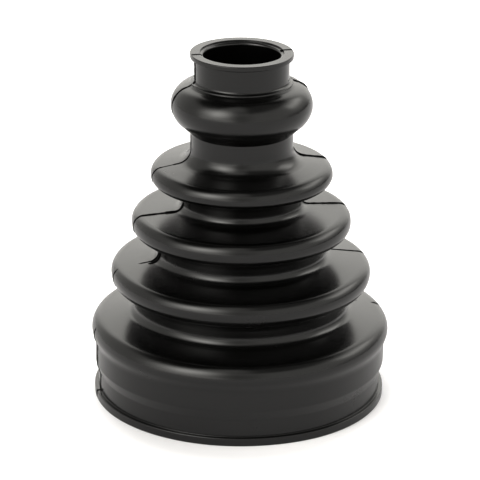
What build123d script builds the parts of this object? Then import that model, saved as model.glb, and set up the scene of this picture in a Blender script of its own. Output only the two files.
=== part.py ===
from build123d import *

import os
from math import hypot, radians, tan
from typing import NamedTuple

# Rubber bellows boot, moulded in one piece.  It stands on its large end, with +Z
# along its axis towards the small end and its origin at the centre of the base.
# A band clamp closes each end: the large end on a housing, the small end on a
# shaft.  Between them, stepped folds take up angle and stroke.
# All lengths are in millimetres, all angles in degrees.

# ---- bores -------------------------------------------------------------------------
large_bore_d = 87.2      # floor of the grooves between the ribs
large_rib_h = 0.7        # ribs that seal on the housing
large_rib_w = 1.3
large_rib_count = 3
large_rib_inset = 1.1    # base to the first rib
large_rib_edge_r = 0.3
base_edge_r = 0.6
small_bore_d = 24.8      # plain, and pressed on the shaft by the small clamp
mouth_ledge_w = 1.0      # ledge just inside the mouth
mouth_ledge_h = 0.7      # top face to the ledge
ledge_edge_r = 0.35
mouth_edge_r = 0.3

# ---- large end, outwards from its bore ---------------------------------------------
large_seat_wall = 3.25   # under the large clamp
base_lip_rise = 1.3      # seat to the lip that keeps the large clamp on it
band_rise = 1.15         # seat to the plain band
shoulder_rise = 1.3     # band to the rim of the shoulder, the widest part

# ---- small end, outwards from its bore ---------------------------------------------
small_seat_wall = 3.05   # under the small clamp
small_lip_rise = 1.35     # seat to the lip that keeps the small clamp on it
ridge_rise = 1.2         # seat to the ridge under the clamp
bead_foot_rise = 0.8     # ridge to the top of the bead

# ---- folds, from the base up -------------------------------------------------------
root_3_d = 69.2          # valley between the shoulder and fold 3
fold_3_d = 85.7          # crest of the lowest fold
root_2_d = 54.0          # valley between folds 3 and 2
fold_2_d = 72.0          # crest of the middle fold
root_1_d = 37.8          # valley between folds 2 and 1
fold_1_d = 59.6          # crest of the top fold
neck_d = 33.7            # neck between the top fold and the bead
bead_d = 46.2            # round bead under the small seat

# ---- heights, from the base up -----------------------------------------------------
base_lip_h = 2.7
large_seat_h = 6.0
seat_blend_h = 3.3       # slope from the large seat out to the band
band_h = 7.2
crease_h = 2.6           # slope from the band out to the shoulder
shoulder_rim_h = 4.6
gap_3_h = 12.1           # rim of the shoulder to the rim of fold 3
fold_3_rim_h = 7.05
gap_2_h = 11.4           # rim of fold 3 to the rim of fold 2
fold_2_rim_h = 6.6
gap_1_h = 10.6          # rim of fold 2 to the rim of fold 1
fold_1_rim_h = 5.2
neck_gap_h = 11.7       # rim of fold 1 to the underside of the bead
bead_cone_h = 5.6        # tapered underside of the bead
bead_rim_h = 8.2
bead_top_h = 2.1
ridge_foot_h = 0.5
ridge_h = 0.4
small_seat_h = 7.7
lip_blend_h = 0.45        # slope from the small seat out to the lip
small_lip_h = 1.5

# ---- flank angles ------------------------------------------------------------------
shoulder_slope = 11.8    # upper flanks fall outwards
fold_3_slope = 8.5
fold_2_slope = 3.0
fold_1_slope = 9.5
under_slope = 15.0       # lower flanks rise outwards
root_lean = 9.0          # walls of the valleys lean outwards as they rise

# ---- edge radii --------------------------------------------------------------------
lip_edge_r = 0.3
step_r = 1.3             # soft corners of the clamp seats
crease_r = 4.0
shoulder_top_r = 5.3
shoulder_low_r = 4.4
fold_top_r = 3.4
fold_1_low_r = 2.7
fold_2_low_r = 3.3
fold_3_low_r = 5.0
root_r = 3.1             # valleys, and the foot of each fold
neck_root_r = 4.8
bead_top_r = 6.5
bead_low_r = 7.0
bead_foot_r = 0.5

# ---- walls -------------------------------------------------------------------------
flank_wall = 2.0
crest_wall = 2.4
root_wall = 2.2
neck_wall = 2.1
bead_wall = 2.2
band_wall = 3.0
inner_edge_r = 0.4       # least radius inside a crest


class Corner(NamedTuple):
    """A corner of the section: radius, height, edge radius, and the wall below it."""

    r: float
    z: float
    edge: float
    wall: float = 0.0


def fold_corners():
    """Outside corners from the large seat up to the bead, lowest first."""
    band = large_seat + band_rise
    crest = band + shoulder_rise
    z = base_lip_h + large_seat_h
    corners = [Corner(large_seat, z, step_r, large_seat_wall)]
    z += seat_blend_h
    corners.append(Corner(band, z, step_r, band_wall))
    z += band_h
    corners.append(Corner(band, z, crease_r, band_wall))
    z += crease_h
    corners.append(Corner(crest, z, shoulder_low_r, flank_wall))
    z += shoulder_rim_h

    # Over each rim: its upper flank, the valley, the next fold's lower flank and rim.
    under, lean = tan(radians(under_slope)), tan(radians(root_lean))
    top_r, slope = shoulder_top_r, shoulder_slope
    for root_d, gap, fold_d, rim_h, low_r, next_slope in (
        (root_3_d, gap_3_h, fold_3_d, fold_3_rim_h, fold_3_low_r, fold_3_slope),
        (root_2_d, gap_2_h, fold_2_d, fold_2_rim_h, fold_2_low_r, fold_2_slope),
        (root_1_d, gap_1_h, fold_1_d, fold_1_rim_h, fold_1_low_r, fold_1_slope),
    ):
        # The valley's wall leans out from its floor and meets the next fold's underside.
        root, fold = root_d / 2, fold_d / 2
        floor = z + (crest - root) * tan(radians(slope))
        wall_h = z + gap - (fold - root) * under - floor
        wall_h /= 1 - lean * under
        corners += [
            Corner(crest, z, top_r, crest_wall),
            Corner(root, floor, root_r, flank_wall),
            Corner(root + wall_h * lean, floor + wall_h, root_r, root_wall),
            Corner(fold, z + gap, low_r, flank_wall),
        ]
        z += gap + rim_h
        crest, top_r, slope = fold, fold_top_r, next_slope

    neck = neck_d / 2
    corners.append(Corner(crest, z, top_r, crest_wall))
    corners.append(Corner(neck, z + (crest - neck) * tan(radians(slope)), neck_root_r, flank_wall))
    z += neck_gap_h
    corners.append(Corner(neck, z, bead_foot_r, neck_wall))
    z += bead_cone_h
    corners.append(Corner(bead_d / 2, z, bead_low_r, bead_wall))
    z += bead_rim_h
    corners.append(Corner(bead_d / 2, z, bead_top_r, crest_wall))
    return corners


def inset(corners):
    """Inside corners of a wall whose outside runs down through corners."""
    sides = []
    for a, b in zip(corners, corners[1:]):
        length = hypot(b.r - a.r, b.z - a.z)
        dr, dz = (b.r - a.r) / length, (b.z - a.z) / length
        sides.append((a.r + dz * a.wall, a.z - dr * a.wall, dr, dz))
    inside = []
    for corner, (r1, z1, dr1, dz1), (r2, z2, dr2, dz2) in zip(corners[1:], sides, sides[1:]):
        turn = dr1 * dz2 - dz1 * dr2
        along = ((r2 - r1) * dz2 - (z2 - z1) * dr2) / turn
        # A valley's radius grows by the wall on the inside, and a crest's shrinks by it.
        edge = corner.edge + (flank_wall if turn > 0 else -flank_wall)
        inside.append(Corner(r1 + along * dr1, z1 + along * dz1, max(edge, inner_edge_r)))
    return inside


def ribs(top):
    """Corners of the large bore's ribs, spread evenly upwards with the last one's top at top."""
    pitch = (top - large_rib_inset - large_rib_w) / (large_rib_count - 1)
    crest = large_bore - large_rib_h
    corners = []
    for i in range(large_rib_count):
        z = large_rib_inset + i * pitch
        corners += [
            Corner(large_bore, z, 0),
            Corner(crest, z, large_rib_edge_r),
            Corner(crest, z + large_rib_w, large_rib_edge_r),
            Corner(large_bore, z + large_rib_w, 0),
        ]
    return corners


def eased(corners):
    """The corners' edge radii, each held to what the sides next to it leave room for."""
    count = len(corners)
    share = 0.98  # the most of a side that its edge radii may take
    reach = []
    for i, b in enumerate(corners):
        a, c = corners[i - 1], corners[(i + 1) % count]
        u, v = (Vector(a.r - b.r, a.z - b.z), Vector(c.r - b.r, c.z - b.z))
        reach.append(1 / tan(radians(u.get_angle(v) / 2)))
    ease = []
    for i, b in enumerate(corners):
        room = 1.0
        for j in (i - 1, (i + 1) % count):
            a = corners[j]
            need = reach[i] * b.edge + reach[j] * a.edge
            if need > 0:
                room = min(room, share * hypot(a.r - b.r, a.z - b.z) / need)
        ease.append(b.edge * room)
    return ease


# Outside of the folds and the bead, with the small end over them and the large end below.
large_bore = large_bore_d / 2
small_bore = small_bore_d / 2
large_seat = large_bore + large_seat_wall
small_seat = small_bore + small_seat_wall
ridge = small_seat + ridge_rise
small_lip = small_seat + small_lip_rise
base_lip = large_seat + base_lip_rise
rise = fold_corners()
bead_top = rise[-1]
bead_foot = Corner(ridge + bead_foot_rise, bead_top.z + bead_top_h, lip_edge_r, bead_wall)
ridge_z = bead_foot.z + ridge_foot_h
seat_z = ridge_z + ridge_h
lip_z = seat_z + small_seat_h + lip_blend_h
height = lip_z + small_lip_h
small_end = [
    Corner(small_lip, height, lip_edge_r),
    Corner(small_lip, lip_z, lip_edge_r),
    Corner(small_seat, seat_z + small_seat_h, step_r),
    Corner(small_seat, seat_z, step_r),
    Corner(ridge, seat_z, lip_edge_r),
    Corner(ridge, ridge_z, lip_edge_r),
    bead_foot,
]
large_end = [
    Corner(large_seat, base_lip_h, lip_edge_r),
    Corner(base_lip, base_lip_h, lip_edge_r),
    Corner(base_lip, 0, 0),
]

# Inside: the wall follows the folds.  Under the small seat it carries the line of the
# bead's top in to the bore.
bead_slope = bead_top_h / (bead_top.r - bead_foot.r)
join = bead_foot.z + (bead_foot.r - small_seat) * bead_slope
skin = [Corner(small_seat, height, 0, small_seat_wall)]
skin += [Corner(small_seat, join, step_r, bead_wall)] + rise[::-1] + large_end[:1]
inside = inset(skin)

# Up the inside: the ribs under the large clamp, the wall, and the ledge at the mouth.
mouth_z = height - mouth_ledge_h
section = small_end + rise[::-1] + large_end
section += [Corner(large_bore, 0, base_edge_r)] + ribs(base_lip_h + large_seat_h - step_r)
section += inside[::-1]
section += [
    Corner(small_bore, mouth_z, ledge_edge_r),
    Corner(small_bore + mouth_ledge_w, mouth_z, mouth_edge_r),
    Corner(small_bore + mouth_ledge_w, height, mouth_edge_r),
]

with BuildPart() as boot:
    with BuildSketch(Plane.XZ):
        with BuildLine():
            FilletPolyline(*((c.r, c.z) for c in section), radius=eased(section), close=True)
        make_face()
    revolve(axis=Axis.Z)

boot.part.label = "bellows_boot"
os.makedirs("parts", exist_ok=True)
export_step(boot.part, "parts/bellows_boot.step")
print(f"height {height:.2f}, volume {boot.part.volume:.0f}, solids {len(boot.part.solids())}")
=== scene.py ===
"""Rubber bellows boot: a moulded boot with stepped folds, its parting line, and a studio.

Lengths are kept in metres, and the sizes below are given in millimetres.  The boot stands
on its large end, with +Z along its axis.
"""

from math import atan2, ceil, cos, exp, hypot, pi, radians, sin, sqrt, tan
from typing import NamedTuple

import bmesh
import bpy
from bpy.props import FloatProperty, FloatVectorProperty, IntProperty, PointerProperty
from mathutils import Matrix, Vector, noise


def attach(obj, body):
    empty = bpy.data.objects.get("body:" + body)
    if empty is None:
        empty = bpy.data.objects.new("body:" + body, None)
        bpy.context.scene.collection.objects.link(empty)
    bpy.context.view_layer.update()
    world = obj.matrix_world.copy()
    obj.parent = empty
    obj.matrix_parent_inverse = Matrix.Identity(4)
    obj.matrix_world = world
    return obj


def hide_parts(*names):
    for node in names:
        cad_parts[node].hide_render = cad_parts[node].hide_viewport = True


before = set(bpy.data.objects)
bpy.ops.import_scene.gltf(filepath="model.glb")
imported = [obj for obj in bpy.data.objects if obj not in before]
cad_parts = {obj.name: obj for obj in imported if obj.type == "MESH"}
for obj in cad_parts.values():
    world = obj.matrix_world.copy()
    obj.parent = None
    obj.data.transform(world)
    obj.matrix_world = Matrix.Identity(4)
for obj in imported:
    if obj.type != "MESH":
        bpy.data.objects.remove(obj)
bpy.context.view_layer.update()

bl_info = {
    "name": "Rubber Bellows Boot",
    "version": (1, 0, 0),
    "blender": (4, 5, 0),
    "location": "3D View > Sidebar > Boot",
    "description": "Builds a moulded rubber bellows boot and the studio that shows it",
    "category": "Object",
}

NODE = "bellows_boot"
BODY = "root"
MM = 0.001
SHARP = radians(35)  # edges sharper than this are shaded as edges


def length(name, description, mm, least=0):
    """A length property, given in millimetres and kept in metres."""
    return FloatProperty(
        name=name, description=description, default=mm * MM, min=least * MM,
        unit="LENGTH", precision=5,
    )


def angle(name, description, degrees):
    """An angle property, given in degrees and kept in radians."""
    return FloatProperty(
        name=name, description=description, default=radians(degrees), unit="ROTATION",
    )


def number(name, description, value, least=0, most=1):
    """A property that is a share or another plain number."""
    return FloatProperty(name=name, description=description, default=value, min=least, max=most)


def tint(name, description, colour):
    """A colour property."""
    return FloatVectorProperty(
        name=name, description=description, default=colour, subtype="COLOR", size=3, min=0, max=1,
    )


# ---- sizes --------------------------------------------------------------------------


class BootSizes(bpy.types.PropertyGroup):
    """Sizes of the moulding, from the base up."""

    large_bore_d: length("Large bore", "Across the grooves between the large ribs", 87.2)
    large_seat_wall: length("Large seat wall", "Wall under the large clamp", 3.25)
    base_lip_rise: length("Base lip", "From the large seat out to the base lip", 1.3)
    band_rise: length("Band", "From the large seat out to the plain band", 1.15)
    shoulder_rise: length("Shoulder", "From the band out to the shoulder's rim", 1.3)
    root_3_d: length("Valley 3", "Across the valley under fold 3", 69.2)
    fold_3_d: length("Fold 3", "Across the lowest fold", 85.7)
    root_2_d: length("Valley 2", "Across the valley under fold 2", 54.0)
    fold_2_d: length("Fold 2", "Across the middle fold", 72.0)
    root_1_d: length("Valley 1", "Across the valley under fold 1", 37.8)
    fold_1_d: length("Fold 1", "Across the top fold", 59.6)
    neck_d: length("Neck", "Across the neck", 33.7)
    bead_d: length("Bead", "Across the round bead", 46.2)
    small_bore_d: length("Small bore", "Across the small bore", 24.8)
    small_seat_wall: length("Small seat wall", "Wall under the small clamp", 3.05)
    small_lip_rise: length("Small lip", "From the small seat out to the top lip", 1.35)
    ridge_rise: length("Ridge", "From the small seat out to the ridge", 1.2)
    bead_foot_rise: length("Bead foot", "From the ridge out to the top of the bead", 0.8)

    base_lip_h: length("Base lip height", "Height of the base lip", 2.7)
    large_seat_h: length("Large seat height", "Height of the large clamp's seat", 6.0)
    seat_blend_h: length("Seat blend", "Slope from the large seat out to the band", 3.3)
    band_h: length("Band height", "Height of the plain band", 7.2)
    crease_h: length("Crease height", "Slope from the band out to the shoulder", 2.6)
    shoulder_rim_h: length("Shoulder rim", "Height of the shoulder's rim", 4.6)
    gap_3_h: length("Gap 3", "From the shoulder's rim to the rim of fold 3", 12.1)
    fold_3_rim_h: length("Rim 3", "Height of the rim of fold 3", 7.05)
    gap_2_h: length("Gap 2", "From the rim of fold 3 to the rim of fold 2", 11.4)
    fold_2_rim_h: length("Rim 2", "Height of the rim of fold 2", 6.6)
    gap_1_h: length("Gap 1", "From the rim of fold 2 to the rim of fold 1", 10.6)
    fold_1_rim_h: length("Rim 1", "Height of the rim of fold 1", 5.2)
    neck_gap_h: length("Neck gap", "From the rim of fold 1 to the bead's underside", 11.7)
    bead_cone_h: length("Bead cone", "Height of the bead's tapered underside", 5.6)
    bead_rim_h: length("Bead rim", "Height of the bead's rim", 8.2)
    bead_top_h: length("Bead top", "Height of the bead's top slope", 2.1)
    ridge_foot_h: length("Ridge foot", "From the bead's top to the ridge", 0.5)
    ridge_h: length("Ridge height", "Height of the ridge", 0.4)
    small_seat_h: length("Small seat height", "Height of the small clamp's seat", 7.7)
    lip_blend_h: length("Lip blend", "Slope from the small seat out to the lip", 0.45)
    small_lip_h: length("Small lip height", "Height of the top lip", 1.5)

    shoulder_slope: angle("Shoulder slope", "Fall of the shoulder's top", 11.8)
    fold_3_slope: angle("Fold 3 slope", "Fall of the top of fold 3", 8.5)
    fold_2_slope: angle("Fold 2 slope", "Fall of the top of fold 2", 3.0)
    fold_1_slope: angle("Fold 1 slope", "Fall of the top of fold 1", 9.5)
    under_slope: angle("Underside slope", "Rise of the folds' undersides", 15.0)
    root_lean: angle("Valley lean", "Lean of the valleys' walls, outwards as they rise", 9.0)

    lip_edge_r: length("Lip edges", "Edge radius of the lips", 0.3)
    lip_under_r: length("Lip corners", "Corner radius beside the seats, at the lips", 0.18)
    step_r: length("Seat corners", "Radius of the soft corners of the seats", 1.3)
    crease_r: length("Crease", "Radius of the crease under the shoulder", 4.0)
    shoulder_top_r: length("Shoulder top edge", "Top edge radius of the shoulder", 5.3)
    shoulder_low_r: length("Shoulder low edge", "Lower edge radius of the shoulder", 4.4)
    fold_top_r: length("Fold top edges", "Top edge radius of the folds", 3.4)
    fold_1_low_r: length("Fold 1 low edge", "Lower edge radius of fold 1", 2.7)
    fold_2_low_r: length("Fold 2 low edge", "Lower edge radius of fold 2", 3.3)
    fold_3_low_r: length("Fold 3 low edge", "Lower edge radius of fold 3", 5.0)
    root_r: length("Valleys", "Radius of the valleys", 3.1)
    neck_root_r: length("Neck foot", "Radius at the foot of the neck", 4.8)
    bead_top_r: length("Bead top edge", "Radius of the bead's upper curve", 6.5)
    bead_low_r: length("Bead low edge", "Radius of the bead's lower curve", 7.0)
    bead_foot_r: length("Bead foot edge", "Radius where the neck meets the bead", 0.5)
    mouth_edge_r: length("Mouth edge", "Edge radius of the mouth", 0.2)
    base_edge_r: length("Base edge", "Edge radius inside the base", 0.6)
    foot_edge_r: length("Foot edge", "Edge radius outside the base", 0.35)
    inner_edge_r: length("Inner edges", "Least radius inside a crest", 0.4)

    flank_wall: length("Flank wall", "Wall of the folds' flanks", 2.0)
    crest_wall: length("Crest wall", "Wall of the folds' rims", 2.4)
    root_wall: length("Valley wall", "Wall of the valleys", 2.2)
    neck_wall: length("Neck wall", "Wall of the neck", 2.1)
    bead_wall: length("Bead wall", "Wall of the bead", 2.2)
    band_wall: length("Band wall", "Wall of the plain band", 3.0)

    large_rib_count: IntProperty(
        name="Ribs", description="Ribs that seal on the housing", default=3, min=2,
    )
    large_rib_h: length("Rib height", "How far the ribs stand in", 0.7)
    large_rib_w: length("Rib width", "Width of the ribs", 1.3)
    large_rib_inset: length("Rib inset", "Base to the first rib", 1.1)
    large_rib_edge_r: length("Rib edges", "Edge radius of the ribs", 0.3)
    mouth_ledge_w: length("Mouth ledge", "Width of the ledge inside the mouth", 1.15)
    mouth_ledge_h: length("Mouth ledge depth", "From the top face down to the ledge", 0.55)
    ledge_edge_r: length("Ledge edge", "Edge radius of the ledge", 0.9)

    lean_base: length("Lean at the ends", "How far the ends stand to the right", -0.3, -5)
    lean_waist: length("Lean at the waist", "How far the waist stands to the right", 0.08, -5)
    fold_tilt: angle("Tilt of the folds", "How far the folds tilt, up on the right", 0.3)
    tilt_z: length("Tilt height", "Height where the folds tilt most", 70)
    tilt_spread: length("Tilt spread", "How far up and down the tilt spreads", 20)
    sag: length("Sag", "How far the top sinks under the boot's own weight", 0.12)
    wave: length("Wave", "How far the wall is out of round", 0.12)
    wave_run: length("Wave run", "Distance from one wave to the next", 26)

    turn_steps: IntProperty(name="Steps", description="Steps round the boot", default=168, min=24)
    edge_steps: IntProperty(
        name="Edge steps", description="Segments in a quarter turn of an edge", default=8, min=2,
    )


# ---- section of the moulding --------------------------------------------------------

EDGE_SHARE = 0.98  # the most of a side that its edge radii may take
WALL_STEP = 3 * MM  # longest step along the wall's section
FLAT_HOLD = 0.35 * MM  # from a long side's end to the point that keeps it flat
LONG_SIDE = 4  # sides longer than this many holds get those points


class Corner(NamedTuple):
    """A corner of the section: radius, height, edge radius, and the wall below it."""

    r: float
    z: float
    edge: float
    wall: float = 0.0


class Section:
    """The boot's section, as corners: the outside downwards, and the inside upwards."""

    def __init__(self, s):
        large_bore, small_bore = s.large_bore_d / 2, s.small_bore_d / 2
        large_seat = large_bore + s.large_seat_wall
        small_seat = small_bore + s.small_seat_wall
        ridge = small_seat + s.ridge_rise
        small_lip = small_seat + s.small_lip_rise
        base_lip = large_seat + s.base_lip_rise

        rise = self.folds(s, large_seat)
        bead_top = rise[-1]
        bead_foot = Corner(ridge + s.bead_foot_rise, bead_top.z + s.bead_top_h, s.lip_edge_r, s.bead_wall)
        ridge_z = bead_foot.z + s.ridge_foot_h
        seat_z = ridge_z + s.ridge_h
        lip_z = seat_z + s.small_seat_h + s.lip_blend_h
        self.height = lip_z + s.small_lip_h
        small_end = [
            Corner(small_lip, self.height, s.lip_edge_r),
            Corner(small_lip, lip_z, s.lip_under_r),
            Corner(small_seat, seat_z + s.small_seat_h, s.lip_under_r),
            Corner(small_seat, seat_z, s.step_r),
            Corner(ridge, seat_z, s.lip_edge_r),
            Corner(ridge, ridge_z, s.lip_edge_r),
            bead_foot,
        ]
        large_end = [
            Corner(large_seat, s.base_lip_h, s.lip_under_r),
            Corner(base_lip, s.base_lip_h, s.lip_edge_r),
            Corner(base_lip, 0, s.foot_edge_r),
        ]
        slope = s.bead_top_h / (bead_top.r - bead_foot.r)
        join = bead_foot.z + (bead_foot.r - small_seat) * slope
        skin = [Corner(small_seat, self.height, 0, s.small_seat_wall)]
        skin += [Corner(small_seat, join, s.step_r, s.bead_wall)] + rise[::-1] + large_end[:1]
        ledge_z = self.height - s.mouth_ledge_h
        large_ribs = self.ribs(
            s.base_lip_h + s.large_seat_h - s.step_r, s.large_rib_inset,
            s.large_rib_count, s.large_rib_w, large_bore, s.large_rib_h, s.large_rib_edge_r,
        )
        self.outside = small_end + rise[::-1] + large_end
        self.inside = [Corner(large_bore, 0, s.base_edge_r)] + large_ribs[::-1]
        self.inside += self.inset(s, skin)[::-1]
        self.inside += [
            Corner(small_bore, ledge_z, s.ledge_edge_r),
            Corner(small_bore + s.mouth_ledge_w, ledge_z, s.mouth_edge_r),
            Corner(small_bore + s.mouth_ledge_w, self.height, s.mouth_edge_r),
        ]

    @staticmethod
    def folds(s, large_seat):
        """Outside corners from the large seat up to the bead, lowest first."""
        band = large_seat + s.band_rise
        crest = band + s.shoulder_rise
        z = s.base_lip_h + s.large_seat_h
        corners = [Corner(large_seat, z, s.step_r, s.large_seat_wall)]
        z += s.seat_blend_h
        corners.append(Corner(band, z, s.step_r, s.band_wall))
        z += s.band_h
        corners.append(Corner(band, z, s.crease_r, s.band_wall))
        z += s.crease_h
        corners.append(Corner(crest, z, s.shoulder_low_r, s.flank_wall))
        z += s.shoulder_rim_h
        top_r, slope = s.shoulder_top_r, s.shoulder_slope
        for root_d, gap, fold_d, rim_h, low_r, next_slope in (
            (s.root_3_d, s.gap_3_h, s.fold_3_d, s.fold_3_rim_h, s.fold_3_low_r, s.fold_3_slope),
            (s.root_2_d, s.gap_2_h, s.fold_2_d, s.fold_2_rim_h, s.fold_2_low_r, s.fold_2_slope),
            (s.root_1_d, s.gap_1_h, s.fold_1_d, s.fold_1_rim_h, s.fold_1_low_r, s.fold_1_slope),
        ):
            # The valley's wall leans out from its floor and meets the underside of the next fold.
            root, fold = root_d / 2, fold_d / 2
            floor = z + (crest - root) * tan(slope)
            rise = z + gap - (fold - root) * tan(s.under_slope) - floor
            rise /= 1 - tan(s.root_lean) * tan(s.under_slope)
            corners += [
                Corner(crest, z, top_r, s.crest_wall),
                Corner(root, floor, s.root_r, s.flank_wall),
                Corner(root + rise * tan(s.root_lean), floor + rise, s.root_r, s.root_wall),
                Corner(fold, z + gap, low_r, s.flank_wall),
            ]
            z += gap + rim_h
            crest, top_r, slope = fold, s.fold_top_r, next_slope
        neck = s.neck_d / 2
        corners.append(Corner(crest, z, top_r, s.crest_wall))
        corners.append(Corner(neck, z + (crest - neck) * tan(slope), s.neck_root_r, s.flank_wall))
        z += s.neck_gap_h
        corners.append(Corner(neck, z, s.bead_foot_r, s.neck_wall))
        z += s.bead_cone_h
        corners.append(Corner(s.bead_d / 2, z, s.bead_low_r, s.bead_wall))
        z += s.bead_rim_h
        corners.append(Corner(s.bead_d / 2, z, s.bead_top_r, s.crest_wall))
        return corners

    @staticmethod
    def inset(s, corners):
        """Inside corners of a wall whose outside runs down through corners."""
        sides = []
        for a, b in zip(corners, corners[1:]):
            run = hypot(b.r - a.r, b.z - a.z)
            dr, dz = (b.r - a.r) / run, (b.z - a.z) / run
            sides.append((a.r + dz * a.wall, a.z - dr * a.wall, dr, dz))
        inside = []
        for corner, (r1, z1, dr1, dz1), (r2, z2, dr2, dz2) in zip(corners[1:], sides, sides[1:]):
            turn = dr1 * dz2 - dz1 * dr2
            along = ((r2 - r1) * dz2 - (z2 - z1) * dr2) / turn
            edge = corner.edge + (s.flank_wall if turn > 0 else -s.flank_wall)
            inside.append(Corner(r1 + along * dr1, z1 + along * dz1, max(edge, s.inner_edge_r)))
        return inside

    @staticmethod
    def ribs(top, foot, count, width, bore, rise, edge):
        """Corners of the sealing ribs in a bore, spread evenly from top down to foot."""
        pitch = (top - foot - width) / (count - 1)
        corners = []
        for i in range(count):
            z = top - i * pitch
            corners += [
                Corner(bore, z, 0),
                Corner(bore - rise, z, edge),
                Corner(bore - rise, z - width, edge),
                Corner(bore, z - width, 0),
            ]
        return corners


def eased(corners, closed):
    """Each corner's edge radius, held to what the sides next to it leave room for, and its reach."""
    count = len(corners)
    reach = []
    for i, b in enumerate(corners):
        a, c = corners[i - 1], corners[(i + 1) % count]
        u, v = Vector((a.r - b.r, a.z - b.z)), Vector((c.r - b.r, c.z - b.z))
        reach.append(1 / tan(u.angle(v) / 2))
    ease = []
    for i, b in enumerate(corners):
        room = 1.0
        for j in (i - 1, (i + 1) % count):
            a = corners[j]
            need = reach[i] * b.edge + reach[j] * a.edge
            if need > 0:
                room = min(room, EDGE_SHARE * hypot(a.r - b.r, a.z - b.z) / need)
        end = not closed and i in (0, count - 1)
        ease.append((0 if end else b.edge * room, reach[i]))
    return ease


def draw_section(bm, corners, quarter_steps, longest, closed=True):
    """Wire of the section in the XZ plane, its corners rounded and its long sides divided."""
    verts = [bm.verts.new((c.r, 0, c.z)) for c in corners]
    count = len(verts)
    for i in range(count if closed else count - 1):
        bm.edges.new((verts[i], verts[(i + 1) % count]))
    for vert, (edge_r, reach) in zip(verts, eased(corners, closed)):
        if edge_r <= 0:
            continue
        turn = 2 * atan2(reach, 1)
        steps = max(2, ceil(quarter_steps * turn / (pi / 2)))
        bmesh.ops.bevel(
            bm, geom=[vert], offset=edge_r * reach, offset_type="OFFSET", segments=steps,
            profile=0.5, affect="VERTICES", clamp_overlap=False, material=-1,
        )
    hold_flats(bm, longest)


def hold_flats(bm, longest):
    """Divides the long sides, with a point close to each end so that flats stay flat."""
    for edge in [e for e in bm.edges if e.calc_length() > LONG_SIDE * FLAT_HOLD]:
        a, b = edge.verts
        run = edge.calc_length()
        near_b = bmesh.utils.edge_split(edge, b, FLAT_HOLD / run)[1]
        near_a = bmesh.utils.edge_split(edge, a, FLAT_HOLD / (run - FLAT_HOLD))[1]
        middle = bm.edges.get((near_a, near_b))
        cuts = ceil((run - 2 * FLAT_HOLD) / longest) - 1
        if cuts > 0:
            bmesh.ops.subdivide_edges(bm, edges=[middle], cuts=cuts)


def settle(bm, s, height):
    """Gives the rubber its stance: bowed to a side, its folds tilted, and not quite round."""
    crest = s.large_bore_d / 2 + s.large_seat_wall + s.band_rise + s.shoulder_rise
    for vert in bm.verts:
        x, y, z = vert.co
        bow = s.lean_base + (s.lean_waist - s.lean_base) * sin(pi * z / height)
        tilt = s.fold_tilt * exp(-(((z - s.tilt_z) / s.tilt_spread) ** 2))
        out = Vector((x, y, 0)).normalized()
        # The shoulder, the widest part, only draws in.
        inward = min(1, max(0, 1 - (crest - hypot(x, y)) / s.shoulder_rise))
        swell = s.wave * (noise.noise(vert.co / s.wave_run) - inward)
        hold = min(1, z / s.base_lip_h)
        vert.co += swell * out + Vector((bow, 0, hold * x * tan(tilt) - s.sag * z / height))


def finish_piece(bm, name, material):
    """Makes a piece from bm: smooth, outward, riding on the body and in the rubber's slot."""
    bmesh.ops.recalc_face_normals(bm, faces=bm.faces)
    for edge in bm.edges:
        edge.smooth = edge.calc_face_angle(0) < SHARP
    mesh = bpy.data.meshes.new(name)
    bm.to_mesh(mesh)
    bm.free()
    mesh.shade_smooth()
    mesh.materials.append(material)
    piece = bpy.data.objects.new(name, mesh)
    bpy.context.scene.collection.objects.link(piece)
    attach(piece, BODY)
    return piece


# ---- rubber -------------------------------------------------------------------------

# Noise in the rubber's finish: its scale, in waves to the metre, and its detail.
FILM_NOISE = (38.0, 5.0)
WEAR_NOISE = (420.0, 3.0)
GRAIN_NOISE = (1400.0, 2.0)
FILM_ROUGHNESS = 0.6  # how broken the edges of the dull film are
FILM_FROM, FILM_TO = 0.42, 0.72  # noise where the film starts, and where it is whole
WEAR = 0.05  # roughness that wear adds at most
GRAIN_H = 0.02 * MM  # height of the grain
RUBBER_IOR = 1.5  # how much the rubber bends light


class RubberLook(bpy.types.PropertyGroup):
    """Colour and finish of the rubber."""

    colour: tint("Rubber", "Colour of the rubber", (0.0010, 0.0010, 0.0009))
    bloom: tint("Bloom", "Colour of the dull film on the rubber", (0.0017, 0.0016, 0.0015))
    gloss: number("Gloss", "Gloss of the moulded skin", 0.5)
    roughness: number("Roughness", "Least roughness of the skin", 0.18)
    smudge: number("Smudge", "Roughness added where it is smudged", 0.08)
    grain: number("Grain", "Strength of the mould's fine grain", 0.02)
    torn_gloss: number("Torn gloss", "Gloss of torn rubber", 0.12)
    torn_dull: number("Torn dullness", "Roughness added where it is torn", 0.35)


def add_node(tree, kind, x, y, **values):
    """A node of that kind at (x, y), with its attributes set from values."""
    node = tree.nodes.new(kind)
    node.location = (x, y)
    for key, value in values.items():
        setattr(node, key, value)
    return node


def add_noise(tree, y, place, scale, detail):
    """A noise texture that reads place, at height y in the tree."""
    node = add_node(tree, "ShaderNodeTexNoise", -600, y)
    node.inputs["Scale"].default_value = scale
    node.inputs["Detail"].default_value = detail
    tree.links.new(place.outputs["Object"], node.inputs["Vector"])
    return node


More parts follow.
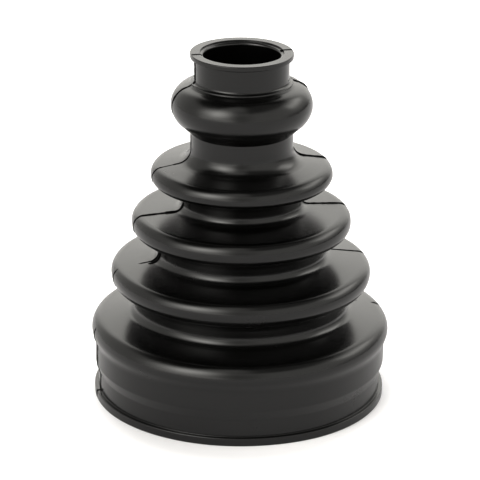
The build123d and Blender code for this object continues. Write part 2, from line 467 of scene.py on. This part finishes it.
def rubber_finish_group():
    """Node group for moulded rubber: a colour, a roughness and a normal that vary over it."""
    tree = bpy.data.node_groups.new("moulded_rubber_finish", "ShaderNodeTree")
    for side, sockets in (
        ("INPUT", (
            ("Colour", "Color"), ("Bloom", "Color"), ("Roughness", "Float"),
            ("Smudge", "Float"), ("Grain", "Float"),
        )),
        ("OUTPUT", (("Colour", "Color"), ("Roughness", "Float"), ("Normal", "Vector"))),
    ):
        for name, kind in sockets:
            tree.interface.new_socket(name, in_out=side, socket_type="NodeSocket" + kind)
    given = add_node(tree, "NodeGroupInput", -900, 0)
    result = add_node(tree, "NodeGroupOutput", 700, 0)
    place = add_node(tree, "ShaderNodeTexCoord", -900, -400)
    link = tree.links.new

    film = add_noise(tree, 200, place, *FILM_NOISE)
    film.inputs["Roughness"].default_value = FILM_ROUGHNESS
    patches = add_node(tree, "ShaderNodeMapRange", -400, 200, clamp=True)
    patches.inputs["From Min"].default_value = FILM_FROM
    patches.inputs["From Max"].default_value = FILM_TO
    blend = add_node(tree, "ShaderNodeMix", 300, 200, data_type="RGBA")
    link(film.outputs["Fac"], patches.inputs["Value"])
    link(patches.outputs["Result"], blend.inputs["Factor"])
    link(given.outputs["Colour"], blend.inputs["A"])
    link(given.outputs["Bloom"], blend.inputs["B"])
    link(blend.outputs["Result"], result.inputs["Colour"])

    worn = add_noise(tree, -100, place, *WEAR_NOISE)
    smudged = add_node(tree, "ShaderNodeMath", -200, 0, operation="MULTIPLY_ADD")
    rough = add_node(tree, "ShaderNodeMath", 0, 0, operation="MULTIPLY_ADD")
    rough.inputs[1].default_value = WEAR
    link(patches.outputs["Result"], smudged.inputs[0])
    link(given.outputs["Smudge"], smudged.inputs[1])
    link(given.outputs["Roughness"], smudged.inputs[2])
    link(worn.outputs["Fac"], rough.inputs[0])
    link(smudged.outputs["Value"], rough.inputs[2])
    link(rough.outputs["Value"], result.inputs["Roughness"])

    skin = add_noise(tree, -400, place, *GRAIN_NOISE)
    bump = add_node(tree, "ShaderNodeBump", 300, -300)
    bump.inputs["Distance"].default_value = GRAIN_H
    link(skin.outputs["Fac"], bump.inputs["Height"])
    link(given.outputs["Grain"], bump.inputs["Strength"])
    link(bump.outputs["Normal"], result.inputs["Normal"])
    return tree


def rubber_material(name, look, gloss, dull=0.0):
    """Black rubber of that gloss, with dull added to its roughness."""
    group = bpy.data.node_groups.get("moulded_rubber_finish") or rubber_finish_group()
    material = bpy.data.materials.new(name)
    material.use_nodes = True
    tree = material.node_tree
    surface = tree.nodes["Principled BSDF"]
    finish = add_node(tree, "ShaderNodeGroup", -300, 300, node_tree=group)
    finish.inputs["Colour"].default_value = (*look.colour, 1)
    finish.inputs["Bloom"].default_value = (*look.bloom, 1)
    finish.inputs["Roughness"].default_value = look.roughness + dull
    finish.inputs["Smudge"].default_value = look.smudge
    finish.inputs["Grain"].default_value = look.grain
    for given, taken in (("Colour", "Base Color"), ("Roughness", "Roughness"), ("Normal", "Normal")):
        tree.links.new(finish.outputs[given], surface.inputs[taken])
    surface.inputs["IOR"].default_value = RUBBER_IOR
    surface.inputs["Specular IOR Level"].default_value = gloss
    return material


# ---- pieces -------------------------------------------------------------------------


class BOOT_OT_moulding(bpy.types.Operator):
    """Spins the section into the boot's wall and gives it the moulding's slight unevenness"""

    bl_idname = "boot.moulding"
    bl_label = "Moulding"
    bl_options = {"REGISTER", "UNDO"}

    def execute(self, context):
        sizes, look = context.scene.boot_sizes, context.scene.rubber_look
        section = Section(sizes)
        bm = bmesh.new()
        draw_section(bm, section.outside + section.inside, sizes.edge_steps, WALL_STEP)
        bmesh.ops.spin(
            bm, geom=bm.verts[:] + bm.edges[:], cent=(0, 0, 0), axis=(0, 0, 1),
            angle=2 * pi, steps=sizes.turn_steps, use_merge=True, use_duplicate=False,
        )
        settle(bm, sizes, section.height)
        piece = finish_piece(bm, "moulded_wall", rubber_material("black_rubber", look, look.gloss))
        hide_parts(NODE)
        return {"FINISHED"}


# ---- flash along the parting line ----------------------------------------------------

LEFT, RIGHT = 192, 12  # the parting line's two sides, as turns round the boot in degrees
RIGHT_BURR = RIGHT + 4  # turn of the burr at the mouth
FLASH_STEP = 0.6 * MM  # longest step along the flash
TEAR_GAIN = 2.5  # brings the noise's peaks up to whole tears
WANDER_RUN = 8 * MM  # from one bend of the parting line to the next

# Flash left standing: turn, from and to in radius, from and to in height, and how far it
# stands out.  Degrees and millimetres.
FLASH = (
    (LEFT, 15.0, 16.4, 107.0, 115.6, 0.45),  # small seat
    (LEFT, 15.5, 23.3, 98.0, 107.8, 0.28),  # bead
    (LEFT, 16.0, 18.4, 82.5, 90.5, 0.18),  # neck
    (LEFT, 17.0, 23.0, 79.5, 84.0, 0.22),  # top of fold 1
    (LEFT, 21.5, 27.5, 79.0, 84.0, 0.10),
    (LEFT, 26.0, 30.1, 75.0, 80.8, 0.20),
    (LEFT, 18.0, 26.0, 62.0, 67.5, 0.50),  # top of fold 2
    (LEFT, 24.0, 35.0, 62.0, 66.0, 0.34),
    (LEFT, 33.0, 36.3, 58.0, 64.0, 0.25),
    (LEFT, 26.5, 30.5, 46.0, 51.5, 0.50),  # top of fold 3, with a second skin beside it
    (LEFT, 26.5, 34.0, 46.0, 51.5, 0.20),
    (LEFT + 3, 26.5, 31.5, 46.0, 51.5, 0.45),
    (LEFT, 41.0, 43.2, 39.0, 45.5, 0.20),
    (LEFT, 48.0, 49.6, 20.0, 25.0, 0.25),  # shoulder
    (LEFT, 45.8, 49.0, 0.6, 19.5, 0.22),  # band and seat
    (RIGHT, 15.5, 22.0, 103.0, 107.9, 0.35),  # bead
    (RIGHT + 1, 16.8, 28.6, 78.6, 85.0, 0.42),  # top of fold 1
    (RIGHT - 1.5, 19.0, 34.9, 62.0, 67.0, 0.38),  # top of fold 2
    (RIGHT, 27.5, 41.9, 44.0, 50.0, 0.20),  # top of fold 3
    (RIGHT, 37.0, 39.6, 27.0, 30.5, 0.30),  # shoulder
    (RIGHT, 45.2, 47.6, 25.0, 28.5, 0.22),
)


class FlashSizes(bpy.types.PropertyGroup):
    """Thin torn flash along the parting line."""

    thickness: length("Thickness", "Thickness of the flash", 0.25)
    root: length("Root", "How deep the flash is rooted in the wall", 0.35)
    fade: length("Fade", "Distance over which a stretch of flash dies out", 0.9)
    ragged: number("Ragged", "Share of the height lost to tears", 0.3)
    tear_run: length("Tear run", "Distance from one tear to the next", 2.2)
    wander: length("Wander", "How far the parting line wanders", 0.15)
    ring_line_w: length("Ring line", "Width of the parting line across the top face", 0.7)
    ring_line_h: length("Ring line height", "How far that line stands up", 0.11)
    burr: length("Burr", "Size of the burr at the mouth on the right", 0.55)
    left_burr: length("Left burr", "Size of the burr at the mouth on the left", 0.4)


def flash_height(flash, turn, r, z):
    """How far the flash stands out at radius r and height z on the parting line at turn."""
    height = 0
    for at, r0, r1, z0, z1, most in FLASH:
        if at == turn:
            inside = min(r - r0 * MM, r1 * MM - r, z - z0 * MM, z1 * MM - z)
            share = min(1, max(0, inside / flash.fade))
            height = max(height, most * MM * sqrt(share))
    tears = noise.noise(Vector((turn, r / flash.tear_run, z / flash.tear_run)))
    return height * (1 - flash.ragged * min(1, abs(tears) * TEAR_GAIN))


def wire_order(bm):
    """Vertices of an open wire, from its highest end on."""
    ends = [v for v in bm.verts if len(v.link_edges) == 1]
    vert = max(ends, key=lambda v: v.co.z)
    order, edge = [vert], None
    while True:
        edge = next((e for e in vert.link_edges if e != edge), None)
        if edge is None:
            return order
        vert = edge.other_vert(vert)
        order.append(vert)


def turn_round(bm, turn):
    """Turns what was made on the X axis to its place round the boot."""
    for vert in bm.verts:
        vert.co = Matrix.Rotation(radians(turn), 3, "Z") @ vert.co


def flash_fin(section, sizes, flash, turn):
    """A bmesh of the flash on the outside of the section, at turn round the boot."""
    bm = bmesh.new()
    draw_section(bm, section.outside, sizes.edge_steps, FLASH_STEP, closed=False)
    line = wire_order(bm)
    stand = {}
    for i, vert in enumerate(line):
        down = line[min(i + 1, len(line) - 1)].co - line[max(i - 1, 0)].co
        out = Vector((-down.z, 0, down.x)).normalized()
        stand[vert] = (out, flash_height(flash, turn, vert.co.x, vert.co.z))
    bare = [
        vert for i, vert in enumerate(line)
        if all(stand[near][1] == 0 for near in line[max(i - 1, 0):i + 2])
    ]
    for vert, (out, _) in stand.items():
        vert.co -= out * flash.root
    bmesh.ops.delete(bm, geom=bare, context="VERTS")
    made = bmesh.ops.extrude_edge_only(bm, edges=bm.edges[:])["geom"]
    for vert in (v for v in made if isinstance(v, bmesh.types.BMVert)):
        foot = next(e.other_vert(vert) for e in vert.link_edges if e.other_vert(vert) in stand)
        out, height = stand[foot]
        vert.co += out * (flash.root + height)
    bmesh.ops.recalc_face_normals(bm, faces=bm.faces[:])
    bmesh.ops.solidify(bm, geom=bm.faces[:], thickness=flash.thickness)
    for vert in bm.verts:
        vert.co.y += flash.wander * noise.noise(Vector((turn, 0, vert.co.z / WANDER_RUN)))
    turn_round(bm, turn)
    return bm


def ring_line(section, sizes, flash, turn):
    """A bmesh of the parting line where it crosses the top face, at turn round the boot."""
    cuts = 9  # along each edge of the line
    lost = 0.5  # the most of its width that is torn away
    tears = 5  # bends in its edges
    r0 = sizes.small_bore_d / 2 + sizes.mouth_ledge_w
    r1 = sizes.small_bore_d / 2 + sizes.small_seat_wall + sizes.small_lip_rise - sizes.lip_edge_r
    bm = bmesh.new()
    bmesh.ops.create_cube(bm, size=1)
    bmesh.ops.subdivide_edges(bm, edges=bm.edges[:], cuts=cuts, use_grid_fill=True)
    for vert in bm.verts:
        ragged = 1 - lost * abs(noise.noise(Vector((turn, vert.co.x * tears, 0))))
        vert.co.x = (r0 + r1) / 2 + vert.co.x * (r1 - r0)
        vert.co.y *= flash.ring_line_w * ragged
        vert.co.z = section.height + vert.co.z * 2 * flash.ring_line_h
    turn_round(bm, turn)
    return bm


def mouth_burr(section, sizes, turn, size):
    """A bmesh of the small burr that the parting line leaves at the mouth, at that turn."""
    lumpy, lump_run = 0.5, 0.4 * MM  # how uneven it is, and from one lump to the next
    out, across, up = 1.3, 0.8, 0.7  # its shares of the size
    sunk = 0.9  # share of the size from the top face down to its middle
    bm = bmesh.new()
    bmesh.ops.create_icosphere(bm, subdivisions=3, radius=size)
    r = sizes.small_bore_d / 2 + sizes.mouth_ledge_w
    for vert in bm.verts:
        lump = 1 + lumpy * noise.noise(vert.co / lump_run)
        vert.co = Vector((vert.co.x * out, vert.co.y * across, vert.co.z * up)) * lump
        vert.co += Vector((r, 0, section.height - size * sunk))
    turn_round(bm, turn)
    return bm


class BOOT_OT_flash(bpy.types.Operator):
    """Adds the torn flash along the parting line, its line across the top face and its burrs"""

    bl_idname = "boot.flash"
    bl_label = "Flash"
    bl_options = {"REGISTER", "UNDO"}

    def execute(self, context):
        sizes, look = context.scene.boot_sizes, context.scene.rubber_look
        flash = context.scene.flash_sizes
        section = Section(sizes)
        torn = [flash_fin(section, sizes, flash, turn) for turn in sorted({row[0] for row in FLASH})]
        torn += [ring_line(section, sizes, flash, turn) for turn in (LEFT, RIGHT)]
        torn.append(mouth_burr(section, sizes, RIGHT_BURR, flash.burr))
        torn.append(mouth_burr(section, sizes, LEFT, flash.left_burr))
        bm = bmesh.new()
        for part in torn:
            mesh = bpy.data.meshes.new("torn_flash_part")
            part.to_mesh(mesh)
            part.free()
            bm.from_mesh(mesh)
            bpy.data.meshes.remove(mesh)
        settle(bm, sizes, section.height)
        material = rubber_material("torn_rubber", look, look.torn_gloss, look.torn_dull)
        finish_piece(bm, "parting_line_flash", material)
        return {"FINISHED"}


# ---- studio -------------------------------------------------------------------------

SENSOR_WIDTH = 36  # millimetres
VIEW_END = 20  # metres that the camera sees
WHITE = (1, 1, 1, 1)


class StudioSizes(bpy.types.PropertyGroup):
    """Camera, floor and lights."""

    camera_distance: length("Camera distance", "From the aim point to the camera", 981.1)
    camera_elevation: angle("Camera elevation", "How far the camera looks down", 20.68)
    camera_roll: angle("Camera roll", "Turn of the camera about its own axis", 0.575)
    lens: number("Lens", "Focal length in millimetres", 223.2, 1, 1000)
    aim_height: length("Aim height", "Height of the aim point", 52.7)
    aim_side: length("Aim side", "How far the aim point is to the right", -0.3, -100)
    floor_size: length("Floor", "Side of the floor", 6000)
    floor_colour: tint("Floor colour", "Colour of the floor", (0.85, 0.845, 0.86))
    floor_roughness: number("Floor roughness", "Roughness of the floor", 0.9)
    # Painted light on the floor: a glow, seen only by the camera, whitens the floor outside an oval round
    # the boot. Inside the oval the floor shows its lit shade, so the boot's soft shadow is partly real
    # shade and partly painted shadow, and the sizes below place that painted oval.
    painted_floor_glow: number("Floor glow", "White added to the open floor", 0.45)
    painted_shade_ahead: length("Shade ahead", "How far in front of the boot its shade is centred", 8)
    painted_shade_narrow: number("Shade narrow", "How much narrower than deep the shade is", 1.14, 1, 4)
    painted_shade_from: length("Shade from", "Where the boot's shade starts to fade", 46)
    painted_shade_to: length("Shade to", "Where the boot's shade is gone", 66)
    gamma: number("Gamma", "Gamma of the picture", 0.86, 0.1, 4)
    room_tint: tint("Room", "Tint of the room's light", (1.0, 0.985, 0.94))
    overhead_size: length("Overhead size", "Side of the overhead light", 2400)
    overhead_z: length("Overhead height", "Height of the overhead light", 1600)
    overhead_level: number("Overhead", "Brightness of the overhead light", 0.36, 0, 10)


SOFT_BOX_SOCKETS = ("Box Turn", "Box Rise", "Half Width", "Half Height", "Side Fade", "End Fade")

# The room's soft boxes, and dark flags, which have a level below 0.  Each has its turn from the
# front, its rise, half its width and height, and how wide its sides and ends fade, all in
# degrees, and then its level.
SOFT_BOXES = (
    ("room", 0, 11, 200, 36, 10, 13, 1.07),
    ("left_softbox", -46, 34, 19, 16, 45, 32, 6.2),
    ("left_floor_box", -41, 3, 29, 10, 16, 12, 1.6),
    ("front_overhead", -20, 57, 33, 31, 14, 60, 1.65),
    ("right_room", 64, 36, 52, 45, 23, 18, 0.34),
    ("right_softbox", 115, 32, 21, 6, 12, 25, 4.4),
    ("back_panel", 177, 33, 33, 26, 16, 60, 1.4),
    ("front_flag", -3.5, 36, 17, 20, 22, 40, -1.3),
    ("right_flag", 108, 0, 29, 6, 24, 16, -1.0),
)


def soft_box_group():
    """Node group for one soft box: even in its middle, and fading at its sides and ends."""
    tree = bpy.data.node_groups.new("soft_box", "ShaderNodeTree")
    for name in ("Turn", "Rise", *SOFT_BOX_SOCKETS, "Level"):
        tree.interface.new_socket(name, in_out="INPUT", socket_type="NodeSocketFloat")
    tree.interface.new_socket("Level", in_out="OUTPUT", socket_type="NodeSocketFloat")
    given = add_node(tree, "NodeGroupInput", -900, 0)
    result = add_node(tree, "NodeGroupOutput", 900, 0)
    link = tree.links.new
    level = given.outputs["Level"]
    for row, (angle_of, middle, half, fade) in enumerate((
        ("Turn", "Box Turn", "Half Width", "Side Fade"),
        ("Rise", "Box Rise", "Half Height", "End Fade"),
    )):
        y = -400 * row
        away = add_node(tree, "ShaderNodeMath", -600, y, operation="SUBTRACT")
        wrap = add_node(tree, "ShaderNodeMath", -400, y, operation="WRAP")
        wrap.inputs[1].default_value = pi
        wrap.inputs[2].default_value = -pi
        off = add_node(tree, "ShaderNodeMath", -200, y, operation="ABSOLUTE")
        share = add_node(
            tree, "ShaderNodeMapRange", 100, y, clamp=True, interpolation_type="SMOOTHSTEP",
        )
        share.inputs["To Min"].default_value = 1
        share.inputs["To Max"].default_value = 0
        times = add_node(tree, "ShaderNodeMath", 400, y, operation="MULTIPLY")
        link(given.outputs[angle_of], away.inputs[0])
        link(given.outputs[middle], away.inputs[1])
        link(away.outputs["Value"], wrap.inputs[0])
        link(wrap.outputs["Value"], off.inputs[0])
        link(off.outputs["Value"], share.inputs["Value"])
        # Half of the fade lies inside the box's edge, and half outside.
        for end, part, down in (("From Min", -0.5, 150), ("From Max", 0.5, 300)):
            edge = add_node(tree, "ShaderNodeMath", -200, y - down, operation="MULTIPLY_ADD")
            edge.inputs[1].default_value = part
            link(given.outputs[fade], edge.inputs[0])
            link(given.outputs[half], edge.inputs[2])
            link(edge.outputs["Value"], share.inputs[end])
        link(share.outputs["Result"], times.inputs[0])
        link(level, times.inputs[1])
        level = times.outputs["Value"]
    link(level, result.inputs["Level"])
    return tree


class BOOT_OT_studio(bpy.types.Operator):
    """Adds the pale floor, the soft light and the camera"""

    bl_idname = "boot.studio"
    bl_label = "Studio"
    bl_options = {"REGISTER", "UNDO"}

    def execute(self, context):
        scene = context.scene
        studio = scene.studio_sizes
        scene.view_settings.view_transform = "Standard"
        scene.view_settings.gamma = studio.gamma
        self.floor(scene, studio)
        self.world(scene, studio)
        self.overhead(scene, studio)
        self.camera(scene, studio)
        return {"FINISHED"}

    @staticmethod
    def floor(scene, studio):
        """A plain pale floor at the boot's base, with a painted glow that whitens it for the camera
        outside a painted oval of shade round the boot.
        """
        bm = bmesh.new()
        bmesh.ops.create_grid(bm, x_segments=1, y_segments=1, size=studio.floor_size / 2)
        mesh = bpy.data.meshes.new("studio_floor")
        bm.to_mesh(mesh)
        bm.free()
        material = bpy.data.materials.new("pale_floor")
        material.use_nodes = True
        tree = material.node_tree
        link = tree.links.new
        surface = tree.nodes["Principled BSDF"]
        surface.inputs["Base Color"].default_value = (*studio.floor_colour, 1)
        surface.inputs["Roughness"].default_value = studio.floor_roughness
        surface.inputs["Specular IOR Level"].default_value = 0
        surface.inputs["Emission Color"].default_value = WHITE
        # Painted glow: white emission, seen only by camera rays, that grows with the distance from an
        # oval centred ahead of the boot, leaving a painted shadow round the base.
        place = add_node(tree, "ShaderNodeTexCoord", -1300, -300)
        shape = add_node(tree, "ShaderNodeVectorMath", -1100, -500, operation="MULTIPLY_ADD")
        shape.inputs[1].default_value = (studio.painted_shade_narrow, 1, 1)
        shape.inputs[2].default_value = (0, studio.painted_shade_ahead, 0)
        away = add_node(tree, "ShaderNodeVectorMath", -900, -300, operation="LENGTH")
        glow = add_node(
            tree, "ShaderNodeMapRange", -700, -300, clamp=True, interpolation_type="SMOOTHSTEP",
        )
        glow.inputs["From Min"].default_value = studio.painted_shade_from
        glow.inputs["From Max"].default_value = studio.painted_shade_to
        glow.inputs["To Max"].default_value = studio.painted_floor_glow
        path = add_node(tree, "ShaderNodeLightPath", -700, -600)
        seen = add_node(tree, "ShaderNodeMath", -400, -300, operation="MULTIPLY")
        link(place.outputs["Object"], shape.inputs[0])
        link(shape.outputs["Vector"], away.inputs[0])
        link(away.outputs["Value"], glow.inputs["Value"])
        link(glow.outputs["Result"], seen.inputs[0])
        link(path.outputs["Is Camera Ray"], seen.inputs[1])
        link(seen.outputs["Value"], surface.inputs["Emission Strength"])
        mesh.materials.append(material)
        floor = bpy.data.objects.new("studio_floor", mesh)
        scene.collection.objects.link(floor)

    @staticmethod
    def world(scene, studio):
        """White to the camera; to the rubber a pale room with soft boxes and dark flags in it."""
        world = bpy.data.worlds.new("studio_world")
        world.use_nodes = True
        tree = world.node_tree
        tree.nodes.clear()
        link = tree.links.new
        place = add_node(tree, "ShaderNodeTexCoord", -1500, 0)
        parts = add_node(tree, "ShaderNodeSeparateXYZ", -1300, 0)
        ahead = add_node(tree, "ShaderNodeMath", -1100, -200, operation="MULTIPLY")
        ahead.inputs[1].default_value = -1
        turn = add_node(tree, "ShaderNodeMath", -900, 0, operation="ARCTAN2")
        rise = add_node(tree, "ShaderNodeMath", -900, -400, operation="ARCSINE")
        link(place.outputs["Generated"], parts.inputs["Vector"])
        link(parts.outputs["Y"], ahead.inputs[0])
        link(parts.outputs["X"], turn.inputs[0])
        link(ahead.outputs["Value"], turn.inputs[1])
        link(parts.outputs["Z"], rise.inputs[0])

        group = soft_box_group()
        total = None
        for i, (name, *angles, level) in enumerate(SOFT_BOXES):
            y = -320 * i
            box = add_node(tree, "ShaderNodeGroup", -500, y, node_tree=group, label=name)
            link(turn.outputs["Value"], box.inputs["Turn"])
            link(rise.outputs["Value"], box.inputs["Rise"])
            for socket, value in zip(SOFT_BOX_SOCKETS, angles):
                box.inputs[socket].default_value = radians(value)
            box.inputs["Level"].default_value = level
            if total is None:
                total = box.outputs["Level"]
                continue
            add = add_node(tree, "ShaderNodeMath", -200, y, operation="ADD")
            link(total, add.inputs[0])
            link(box.outputs["Level"], add.inputs[1])
            total = add.outputs["Value"]
        lit = add_node(tree, "ShaderNodeMath", 0, 0, operation="MAXIMUM")
        lit.inputs[1].default_value = 0
        link(total, lit.inputs[0])

        room = add_node(tree, "ShaderNodeBackground", 200, 0)
        room.inputs["Color"].default_value = (*studio.room_tint, 1)
        link(lit.outputs["Value"], room.inputs["Strength"])
        seen = add_node(tree, "ShaderNodeBackground", 200, -200)
        seen.inputs["Color"].default_value = WHITE
        path = add_node(tree, "ShaderNodeLightPath", 200, 400)
        mix = add_node(tree, "ShaderNodeMixShader", 450, 0)
        out = add_node(tree, "ShaderNodeOutputWorld", 650, 0)
        link(path.outputs["Is Camera Ray"], mix.inputs["Fac"])
        link(room.outputs["Background"], mix.inputs[1])
        link(seen.outputs["Background"], mix.inputs[2])
        link(mix.outputs["Shader"], out.inputs["Surface"])
        scene.world = world

    @staticmethod
    def overhead(scene, studio):
        """A broad light over the floor, which the rubber doesn't mirror."""
        light = bpy.data.lights.new("overhead_light", "AREA")
        light.shape = "SQUARE"
        light.size = studio.overhead_size
        # A light's power is pi times its brightness and its area.
        light.energy = studio.overhead_level * pi * studio.overhead_size ** 2
        lamp = bpy.data.objects.new("overhead_light", light)
        lamp.location = (0, 0, studio.overhead_z)
        lamp.visible_glossy = False
        lamp.visible_camera = False
        scene.collection.objects.link(lamp)

    @staticmethod
    def camera(scene, studio):
        """The camera, a little above the boot and far in front of it."""
        camera = bpy.data.objects.new("camera", bpy.data.cameras.new("camera"))
        camera.data.sensor_width = SENSOR_WIDTH
        camera.data.lens = studio.lens
        camera.data.clip_end = VIEW_END
        rise = studio.camera_elevation
        aim = Vector((studio.aim_side, 0, studio.aim_height))
        camera.location = aim + studio.camera_distance * Vector((0, -cos(rise), sin(rise)))
        turn = Matrix.Rotation(pi / 2 - rise, 4, "X") @ Matrix.Rotation(studio.camera_roll, 4, "Z")
        camera.rotation_euler = turn.to_euler()
        scene.collection.objects.link(camera)
        scene.camera = camera


class BOOT_PT_panel(bpy.types.Panel):
    """Lists the boot's pieces and sizes"""

    bl_idname = "BOOT_PT_panel"
    bl_label = "Bellows Boot"
    bl_space_type = "VIEW_3D"
    bl_region_type = "UI"
    bl_category = "Boot"

    def draw(self, context):
        layout = self.layout
        for operator in OPERATORS:
            layout.operator(operator.bl_idname)
        for group, _ in GROUPS:
            box = layout.box()
            settings = getattr(context.scene, group)
            for name in settings.__annotations__:
                box.prop(settings, name)


GROUPS = (
    ("boot_sizes", BootSizes),
    ("rubber_look", RubberLook),
    ("flash_sizes", FlashSizes),
    ("studio_sizes", StudioSizes),
)
OPERATORS = (BOOT_OT_moulding, BOOT_OT_flash, BOOT_OT_studio)


def register():
    for name, group in GROUPS:
        bpy.utils.register_class(group)
        setattr(bpy.types.Scene, name, PointerProperty(type=group))
    for cls in (*OPERATORS, BOOT_PT_panel):
        bpy.utils.register_class(cls)


def unregister():
    for cls in reversed((*OPERATORS, BOOT_PT_panel)):
        bpy.utils.unregister_class(cls)
    for name, group in reversed(GROUPS):
        delattr(bpy.types.Scene, name)
        bpy.utils.unregister_class(group)


def main():
    """Builds the boot and its studio."""
    register()
    bpy.ops.boot.moulding()
    bpy.ops.boot.flash()
    bpy.ops.boot.studio()


if __name__ == "__main__":
    main()
